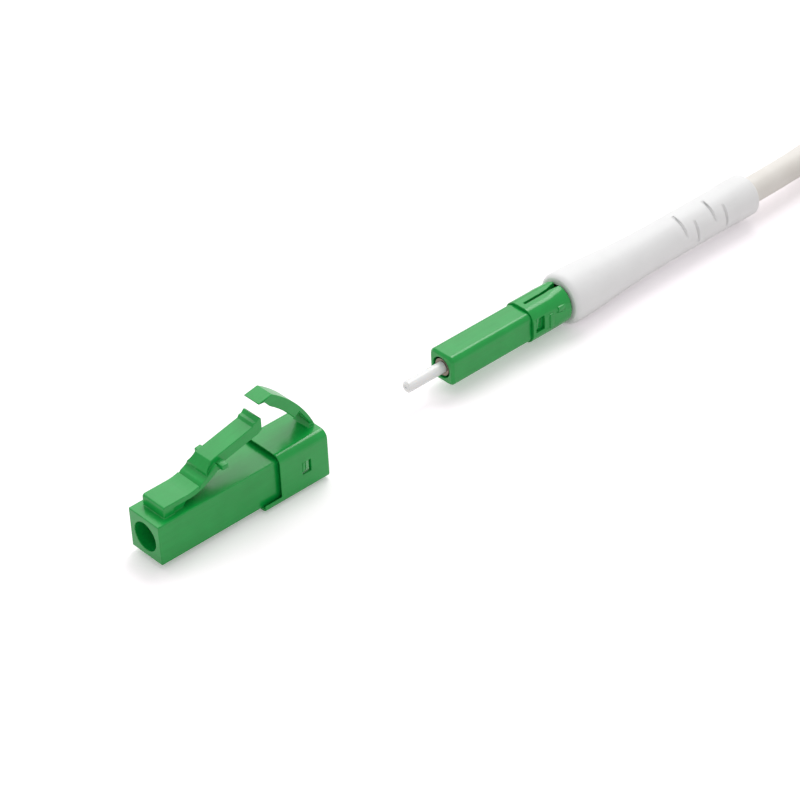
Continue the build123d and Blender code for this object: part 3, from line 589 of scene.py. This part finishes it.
def hank_place(turn):
    """Column from the inside and layer from the floor of a whole turn.

    The turns go in, up, out, up and in again.
    """
    return (1 if turn % 4 in (0, 3) else 0, turn // 2)


def hank_point(turns):
    """Point of the hank after so many turns, each a far run, a fold, a near run and a fold."""
    turn = int(turns)
    along = turns - turn
    column, layer = hank_place(turn)
    if turn < len(MOVES):
        move_start, move_end = MOVES[turn]
        share = min(max((along - move_start) / (move_end - move_start), 0.0), 1.0)
        share = 0.5 - 0.5 * math.cos(math.pi * share)
        next_column, next_layer = hank_place(turn + 1)
        column += (next_column - column) * share
        layer += (next_layer - layer) * share
    radius = HANK_FOLD_RADIUS + HANK_PITCH * column
    leg = int(4 * along)
    share = 4 * along - leg
    sine, cosine = math.sin(math.pi * share), math.cos(math.pi * share)
    x, y = (
        (HANK_RUN * share, radius),
        (HANK_RUN + radius * sine, radius * cosine),
        (HANK_RUN * (1 - share), -radius),
        (-radius * sine, -radius * cosine),
    )[leg]
    return (HANK_START[0] + x, HANK_CENTRE_Y + y, HANK_START[2] + HANK_PITCH * layer)


steps = round(HANK_TURNS * POINTS_PER_TURN)
hank_points = [hank_point(step / POINTS_PER_TURN) for step in range(steps + 1)]
route = [Vector(point) * MM for point in lead_points + hank_points + tail_points]
print("points of the route:", len(route))

# %% [markdown]
# ## The cable
# A cable bends in one smooth sweep, so it is a single NURBS spline whose control
# points are the route, with a round bevel for its thickness. A mesh would need
# many rings for the same smoothness.

# %% The cable
CABLE_DIAMETER = 3.0 * MM
STEPS_PER_POINT = 4
ROUND_STEPS = 7
SPLINE_ORDER = 3

cable_curve = bpy.data.curves.new("cable_run", "CURVE")
cable_curve.dimensions = "3D"
cable_curve.resolution_u = STEPS_PER_POINT
cable_curve.bevel_depth = CABLE_DIAMETER / 2
cable_curve.bevel_resolution = ROUND_STEPS
cable_curve.use_fill_caps = True
spline = cable_curve.splines.new("NURBS")
spline.points.add(len(route) - 1)
for point, place in zip(spline.points, route):
    point.co = (*place, 1.0)
spline.order_u = SPLINE_ORDER
spline.use_endpoint_u = True
cable_curve.materials.append(jacket_plastic)
cable = bpy.data.objects.new("cable_run", cable_curve)
bpy.context.scene.collection.objects.link(cable)
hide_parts("cable", "cable_hank", "cable_tail")
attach(cable, "plug")
print("cable control points:", len(route))

# %% [markdown]
# ## The cut end
# The free end of the cable is cut off square and shows what is inside: the
# jacket's ring, the yellow yarn, the white buffer and the fibre. They could be
# small discs, but all of them lie on one flat end, so the distance from the end's
# middle picks the colour in the jacket's own finish.

# %% The cut end
CUT_END = Vector(tail_points[-1]) * MM
# Outer radius in millimetres and colour of the yarn, the buffer and the fibre.
CUT_RINGS = (
    (1.05, (0.62, 0.45, 0.09)),
    (0.45, (0.82, 0.82, 0.80)),
    (0.08, (0.35, 0.42, 0.45)),
)

tree = jacket_plastic.node_tree
ends = {0: place_on_piece(tree), 1: CUT_END}
distance = Value.node(tree, "ShaderNodeVectorMath", {"operation": "DISTANCE"}, ends, "Value")
base_colour = tree.nodes["Principled BSDF"].inputs["Base Color"]
colour = Value(base_colour.links[0].from_socket)
for radius, ring_colour in CUT_RINGS:
    colour = blend(tree, distance.math("LESS_THAN", radius * MM), colour, ring_colour)
tree.links.new(colour.socket, base_colour)
print("rings on the cut end:", len(CUT_RINGS))

# %% [markdown]
# ## Floor
# The object lies on a white table. More light would make the floor white, but
# the object too, so the floor itself differs between kinds of light path: to the
# camera it is paler than to the object, and it glows a little in the picture and
# in reflections. The object's shadow still darkens it.

# %% Floor
FLOOR_HALF_SIZE = 3.0
FLOOR_COLOUR = (0.81, 0.78, 0.79)
FLOOR_COLOUR_SEEN = (0.98, 0.92, 0.96)
FLOOR_GLOW = 0.25


def rays(tree, *kinds):
    """1 for the named kinds of light path, and 0 for the others."""
    first, *others = [Value.node(tree, "ShaderNodeLightPath", output=kind) for kind in kinds]
    for other in others:
        first = first.math("ADD", other, clamp=True)
    return first


floor_mesh = bpy.data.meshes.new("floor")
floor_shape = bmesh.new()
bmesh.ops.create_grid(floor_shape, x_segments=1, y_segments=1, size=FLOOR_HALF_SIZE)
floor_shape.to_mesh(floor_mesh)
floor_shape.free()
floor = bpy.data.objects.new("floor", floor_mesh)
bpy.context.scene.collection.objects.link(floor)

white_table, tree = new_material("white table")
seen = blend(tree, rays(tree, "Is Camera Ray"), FLOOR_COLOUR, FLOOR_COLOUR_SEEN)
matt = Value.node(tree, "ShaderNodeBsdfDiffuse", sockets={"Color": seen})
strength = rays(tree, "Is Camera Ray", "Is Glossy Ray", "Is Transmission Ray") * FLOOR_GLOW
glow = Value.node(tree, "ShaderNodeEmission", sockets={"Strength": strength})
both = Value.node(tree, "ShaderNodeAddShader", sockets={0: matt, 1: glow})
Value.node(tree, "ShaderNodeOutputMaterial", sockets={"Surface": both})
floor_mesh.materials.append(white_table)
print("floor:", 2 * FLOOR_HALF_SIZE, "m wide")

# %% [markdown]
# ## Light and background
# Product pictures like this one are lit by a bright, even room and two large
# soft lamps, above and behind, so the near sides are darker than the tops. The
# key lamp draws the thin lines on the rounded edges, and the broad softbox gives
# the flat tops their pale sheen. Together they reach a level at which a colour
# shows about as it is written. The world is white only where the camera sees it.

# %% Light and background
AMBIENT = 0.66
WHITE = (1.0, 1.0, 1.0, 1.0)
LAMPS = {
    "key": {"strength": 0.80, "angle": 26.0, "toward": (0.50, 0.20, 0.85)},
    "back softbox": {"strength": 0.80, "angle": 50.0, "toward": (0.30, 0.65, 0.70)},
}

world = bpy.data.worlds.new("studio")
bpy.context.scene.world = world
world.use_nodes = True
tree = world.node_tree
tree.nodes.clear()
strength = rays(tree, "Is Camera Ray", "Is Transmission Ray") * (1.0 - AMBIENT) + AMBIENT
sockets = {"Color": WHITE, "Strength": strength}
background = Value.node(tree, "ShaderNodeBackground", sockets=sockets)
Value.node(tree, "ShaderNodeOutputWorld", sockets={"Surface": background})

for name, settings in LAMPS.items():
    lamp_data = bpy.data.lights.new(name, "SUN")
    lamp_data.energy = settings["strength"]
    lamp_data.angle = math.radians(settings["angle"])
    lamp = bpy.data.objects.new(name, lamp_data)
    lamp.rotation_euler = Vector(settings["toward"]).to_track_quat("Z", "Y").to_euler()
    bpy.context.scene.collection.objects.link(lamp)
bpy.context.scene.view_settings.view_transform = "Standard"
print("stage: floor, world and", ", ".join(LAMPS))
